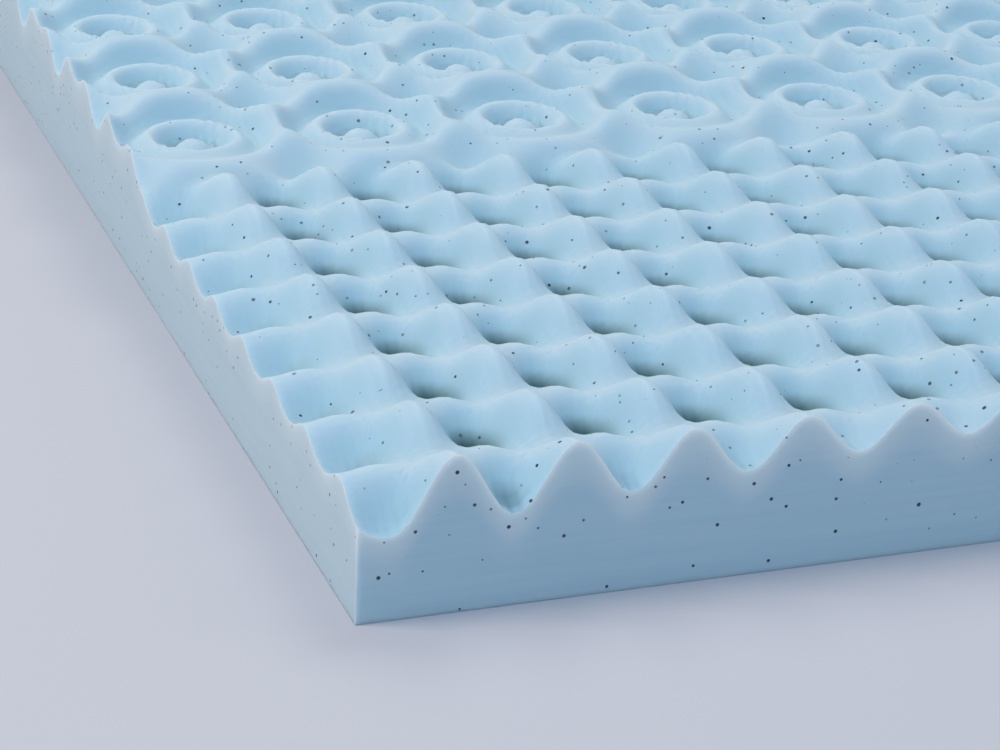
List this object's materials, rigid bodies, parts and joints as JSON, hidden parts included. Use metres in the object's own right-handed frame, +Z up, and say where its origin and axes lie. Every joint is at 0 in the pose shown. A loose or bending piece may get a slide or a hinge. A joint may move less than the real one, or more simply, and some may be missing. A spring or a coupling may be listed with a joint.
{
  "type": "mattress topper",
  "caption": "Soft foam mattress topper: one flat slab with egg-crate waves pressed into both ends of its top face and ring-shaped bumps in the middle",
  "frame": {"origin": "middle of the flat underside", "axes": "+X across the bed, +Y along the bed, +Z up; the underside rests on z = 0"},
  "size_m": [0.99, 1.905, 0.0793],
  "materials": {
    "soft_foam": "matt pale blue open-cell foam with fine dark specks"
  },
  "bodies": {
    "root": {"foam_slab": "soft_foam"}
  },
  "joints": []
}
